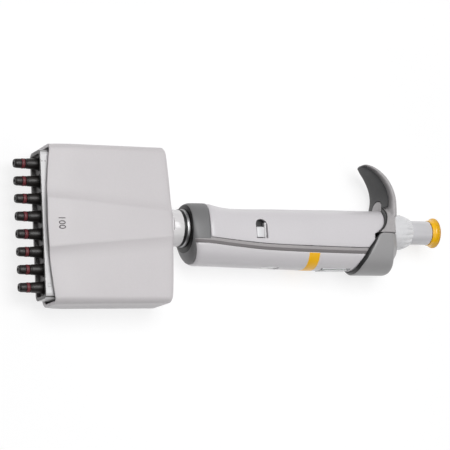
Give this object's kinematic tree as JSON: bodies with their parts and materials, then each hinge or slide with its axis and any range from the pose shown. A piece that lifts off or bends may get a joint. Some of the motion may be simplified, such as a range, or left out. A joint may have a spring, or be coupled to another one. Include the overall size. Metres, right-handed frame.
{
  "type": "multichannel micropipette",
  "caption": "Adjustable multichannel micropipette: flat swivelling head with a row of sprung tip cones, handle with finger hook, volume ring, push button and tip ejector.",
  "frame": {"origin": "middle of the bottom face of the bounding box, on the bench that the pipette lies on", "axes": "+X along the rod from the tip cones to the push button, +Y towards the finger hook, +Z out of the head's front face"},
  "size_m": [0.2434, 0.0816, 0.029],
  "materials": {
    "light_plastic": "satin light grey",
    "dark_plastic": "satin dark grey",
    "mid_plastic": "satin mid grey",
    "black_plastic": "satin black",
    "seal_red": "matte",
    "soft_pad": "soft-touch matte",
    "white_plastic": "gloss",
    "yellow_plastic": "gloss",
    "lens": "clear plastic",
    "steel": "ground"
  },
  "bodies": {
    "handle": {"handle_chassis": "dark_plastic", "upper_shell": "light_plastic", "lower_shell": "light_plastic", "finger_hook": "mid_plastic", "hook_pad": "soft_pad", "display_lens": "lens", "adjuster_plug": "white_plastic", "counter_axle": "steel", "stroke_spring": "steel", "ejector_spring": "steel"},
    "head": {"head_front_cover": "light_plastic", "head_back_cover": "light_plastic", "cone_block": "mid_plastic", "neck_tube": "light_plastic", "swivel_ring": "steel", "cone_spring_1": "steel", "cone_spring_2": "steel", "cone_spring_3": "steel", "cone_spring_4": "steel", "cone_spring_5": "steel", "cone_spring_6": "steel", "cone_spring_7": "steel", "cone_spring_8": "steel"},
    "ejector_bar": {"ejector_bar": "mid_plastic", "ejector_yoke": "mid_plastic"},
    "piston_bridge": {"piston_bridge": "mid_plastic", "piston_1": "steel", "piston_2": "steel", "piston_3": "steel", "piston_4": "steel", "piston_5": "steel", "piston_6": "steel", "piston_7": "steel", "piston_8": "steel"},
    "cone_1": {"nose_cone_1": "black_plastic", "tip_seal_1": "seal_red"},
    "cone_2": {"nose_cone_2": "black_plastic", "tip_seal_2": "seal_red"},
    "cone_3": {"nose_cone_3": "black_plastic", "tip_seal_3": "seal_red"},
    "cone_4": {"nose_cone_4": "black_plastic", "tip_seal_4": "seal_red"},
    "cone_5": {"nose_cone_5": "black_plastic", "tip_seal_5": "seal_red"},
    "cone_6": {"nose_cone_6": "black_plastic", "tip_seal_6": "seal_red"},
    "cone_7": {"nose_cone_7": "black_plastic", "tip_seal_7": "seal_red"},
    "cone_8": {"nose_cone_8": "black_plastic", "tip_seal_8": "seal_red"},
    "push_button": {"button_cap": "yellow_plastic", "push_rod": "white_plastic"},
    "volume_ring": {"volume_ring": "white_plastic", "volume_spindle": "steel"},
    "stop_nut": {"stop_nut": "white_plastic"},
    "units_wheel": {"units_wheel": "white_plastic"},
    "tens_wheel": {"tens_wheel": "white_plastic"},
    "hundreds_wheel": {"hundreds_wheel": "white_plastic"},
    "ejector_button": {"ejector_button": "mid_plastic", "ejector_rod": "steel"}
  },
  "joints": [
    {"name": "head_swivel", "type": "hinge", "parent": "handle", "child": "head", "pos_m": [-0.03375, 0, 0.0145], "axis": [1, 0, 0], "continuous": true},
    {"name": "button_press", "type": "slide", "parent": "handle", "child": "push_button", "axis": [-1, 0, 0], "range_m": [0, 0.0105], "stiffness_N_per_m": 350, "springref_m": -0.01, "deforming": ["stroke_spring"]},
    {"name": "piston_lift", "type": "slide", "parent": "head", "child": "piston_bridge", "axis": [-1, 0, 0], "range_m": [0, 0.0105]},
    {"name": "ejector_press", "type": "slide", "parent": "handle", "child": "ejector_button", "axis": [-1, 0, 0], "range_m": [0, 0.009], "stiffness_N_per_m": 450, "springref_m": -0.008, "deforming": ["ejector_spring"]},
    {"name": "ejector_bar_slide", "type": "slide", "parent": "head", "child": "ejector_bar", "axis": [-1, 0, 0], "range_m": [0, 0.009]},
    {"name": "volume_turn", "type": "hinge", "parent": "handle", "child": "volume_ring", "pos_m": [0.09825, 0, 0.0145], "axis": [1, 0, 0], "range_deg": [-1440, 1800]},
    {"name": "stop_nut_travel", "type": "slide", "parent": "handle", "child": "stop_nut", "axis": [1, 0, 0], "range_m": [-0.00345, 0.0043]},
    {"name": "units_wheel_turn", "type": "hinge", "parent": "handle", "child": "units_wheel", "pos_m": [0.05115, -0.0125, 0.0145], "axis": [1, 0, 0], "range_deg": [-1801, 1441]},
    {"name": "tens_wheel_turn", "type": "hinge", "parent": "handle", "child": "tens_wheel", "pos_m": [0.05655, -0.0125, 0.0145], "axis": [1, 0, 0], "range_deg": [-181, 145]},
    {"name": "hundreds_wheel_turn", "type": "hinge", "parent": "handle", "child": "hundreds_wheel", "pos_m": [0.06195, -0.0125, 0.0145], "axis": [1, 0, 0], "range_deg": [-18.5, 15]},
    {"name": "cone_1_spring_in", "type": "slide", "parent": "head", "child": "cone_1", "axis": [1, 0, 0], "range_m": [0, 0.003], "stiffness_N_per_m": 1500, "springref_m": -0.0015, "deforming": ["cone_spring_1"]},
    {"name": "cone_2_spring_in", "type": "slide", "parent": "head", "child": "cone_2", "axis": [1, 0, 0], "range_m": [0, 0.003], "stiffness_N_per_m": 1500, "springref_m": -0.0015, "deforming": ["cone_spring_2"]},
    {"name": "cone_3_spring_in", "type": "slide", "parent": "head", "child": "cone_3", "axis": [1, 0, 0], "range_m": [0, 0.003], "stiffness_N_per_m": 1500, "springref_m": -0.0015, "deforming": ["cone_spring_3"]},
    {"name": "cone_4_spring_in", "type": "slide", "parent": "head", "child": "cone_4", "axis": [1, 0, 0], "range_m": [0, 0.003], "stiffness_N_per_m": 1500, "springref_m": -0.0015, "deforming": ["cone_spring_4"]},
    {"name": "cone_5_spring_in", "type": "slide", "parent": "head", "child": "cone_5", "axis": [1, 0, 0], "range_m": [0, 0.003], "stiffness_N_per_m": 1500, "springref_m": -0.0015, "deforming": ["cone_spring_5"]},
    {"name": "cone_6_spring_in", "type": "slide", "parent": "head", "child": "cone_6", "axis": [1, 0, 0], "range_m": [0, 0.003], "stiffness_N_per_m": 1500, "springref_m": -0.0015, "deforming": ["cone_spring_6"]},
    {"name": "cone_7_spring_in", "type": "slide", "parent": "head", "child": "cone_7", "axis": [1, 0, 0], "range_m": [0, 0.003], "stiffness_N_per_m": 1500, "springref_m": -0.0015, "deforming": ["cone_spring_7"]},
    {"name": "cone_8_spring_in", "type": "slide", "parent": "head", "child": "cone_8", "axis": [1, 0, 0], "range_m": [0, 0.003], "stiffness_N_per_m": 1500, "springref_m": -0.0015, "deforming": ["cone_spring_8"]}
  ],
  "couplings": [
    {"joint": "piston_lift", "follows": "button_press", "ratio": 1},
    {"joint": "ejector_bar_slide", "follows": "ejector_press", "ratio": 1},
    {"joint": "stop_nut_travel", "follows": "volume_turn", "m_per_rad": 0.00013528},
    {"joint": "units_wheel_turn", "follows": "volume_turn", "ratio": -1},
    {"joint": "tens_wheel_turn", "follows": "volume_turn", "ratio": -0.1},
    {"joint": "hundreds_wheel_turn", "follows": "volume_turn", "ratio": -0.01}
  ]
}
